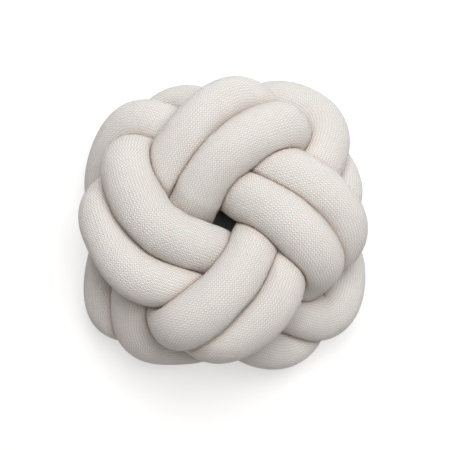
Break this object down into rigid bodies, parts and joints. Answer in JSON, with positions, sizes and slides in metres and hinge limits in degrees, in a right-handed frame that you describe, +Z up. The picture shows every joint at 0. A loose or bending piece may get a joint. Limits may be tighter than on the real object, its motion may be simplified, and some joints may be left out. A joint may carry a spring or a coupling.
{
  "type": "knot cushion",
  "caption": "Round knot cushion: two soft stuffed knitted tubes, laid side by side and plaited into one flat, closed knot that fills a ball-like pad for a sofa, chair or bed.",
  "frame": {"origin": "middle of the underside, where the cushion lies on its back", "axes": "+Z up through the eye of the knot; +Y towards the top of the picture, +X to its right"},
  "size_m": [0.3042, 0.3126, 0.1721],
  "materials": {
    "yarn": "machine-knitted grey-beige wool jersey, matt"
  },
  "bodies": {
    "root": {"first_tube": "yarn", "second_tube": "yarn"}
  },
  "joints": []
}
